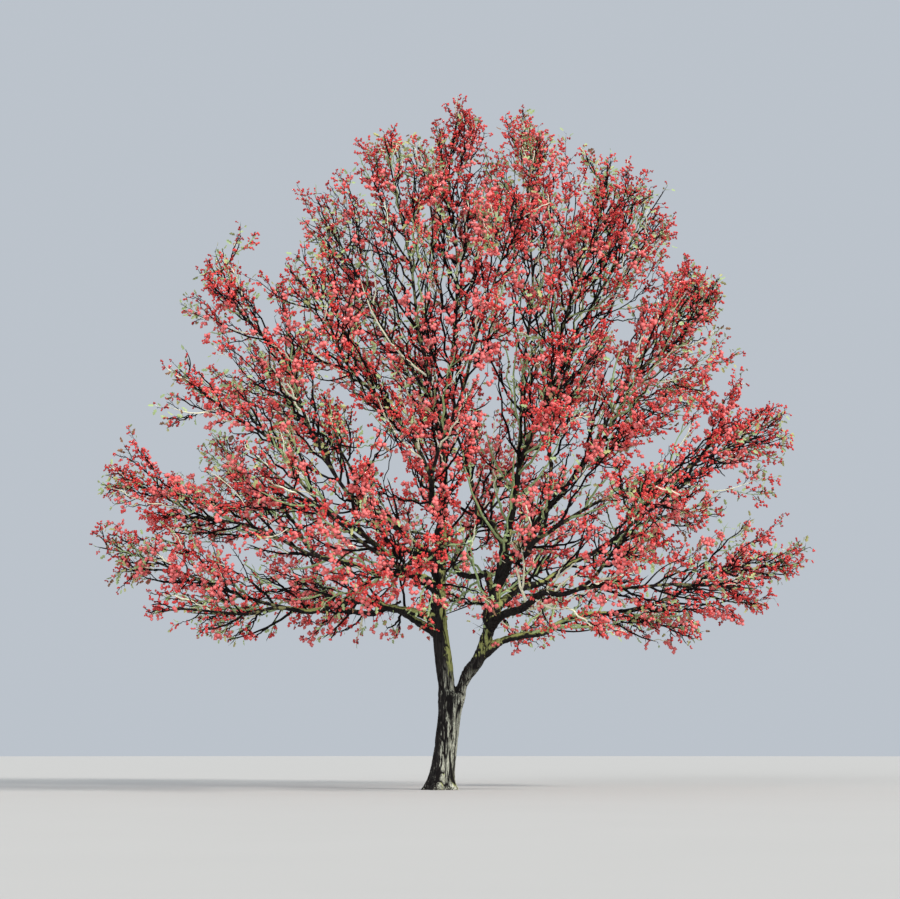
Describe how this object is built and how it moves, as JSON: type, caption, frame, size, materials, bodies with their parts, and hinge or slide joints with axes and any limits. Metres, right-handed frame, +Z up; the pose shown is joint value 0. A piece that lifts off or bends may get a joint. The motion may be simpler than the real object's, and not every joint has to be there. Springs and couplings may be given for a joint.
{
  "type": "hawthorn tree",
  "caption": "Broad, twiggy hawthorn tree in late autumn, on a short leaning trunk that forks low, almost leafless and hung all over with red haws.",
  "frame": {"origin": "middle of the flat cut under the trunk, at ground level", "axes": "+Z up, +X to the right as seen from the front, and the front faces -Y"},
  "size_m": [8.0606, 7.5116, 7.9359],
  "materials": {
    "bark": "rough fissured bark, dark grey",
    "haw_sprays": "dark twigs with red haws"
  },
  "bodies": {
    "root": {"trunk": "bark", "leader_left": "bark", "leader_right": "bark", "bough_low_1": "bark", "bough_low_2": "bark", "bough_low_3": "bark", "bough_low_4": "bark", "bough_low_5": "bark", "bough_low_6": "bark", "bough_mid_1": "bark", "bough_mid_2": "bark", "bough_mid_3": "bark", "bough_mid_4": "bark", "bough_mid_5": "bark", "bough_high_1": "bark", "bough_high_2": "bark", "bough_high_3": "bark", "bough_high_4": "bark", "spray_low_1a": "haw_sprays", "spray_low_1b": "haw_sprays", "spray_low_2a": "haw_sprays", "spray_low_2b": "haw_sprays", "spray_low_3a": "haw_sprays", "spray_low_3b": "haw_sprays", "spray_low_4a": "haw_sprays", "spray_low_4b": "haw_sprays", "spray_low_5a": "haw_sprays", "spray_low_5b": "haw_sprays", "spray_low_6a": "haw_sprays", "spray_low_6b": "haw_sprays", "spray_mid_1a": "haw_sprays", "spray_mid_1b": "haw_sprays", "spray_mid_2a": "haw_sprays", "spray_mid_2b": "haw_sprays", "spray_mid_3a": "haw_sprays", "spray_mid_3b": "haw_sprays", "spray_mid_4a": "haw_sprays", "spray_mid_4b": "haw_sprays", "spray_mid_5a": "haw_sprays", "spray_mid_5b": "haw_sprays", "spray_high_1a": "haw_sprays", "spray_high_1b": "haw_sprays", "spray_high_2a": "haw_sprays", "spray_high_2b": "haw_sprays", "spray_high_3a": "haw_sprays", "spray_high_3b": "haw_sprays", "spray_high_4a": "haw_sprays", "spray_high_4b": "haw_sprays", "spray_top_righta": "haw_sprays", "spray_top_rightb": "haw_sprays", "spray_top_rightc": "haw_sprays", "spray_top_lefta": "haw_sprays", "spray_top_leftb": "haw_sprays", "spray_top_leftc": "haw_sprays"}
  },
  "joints": []
}
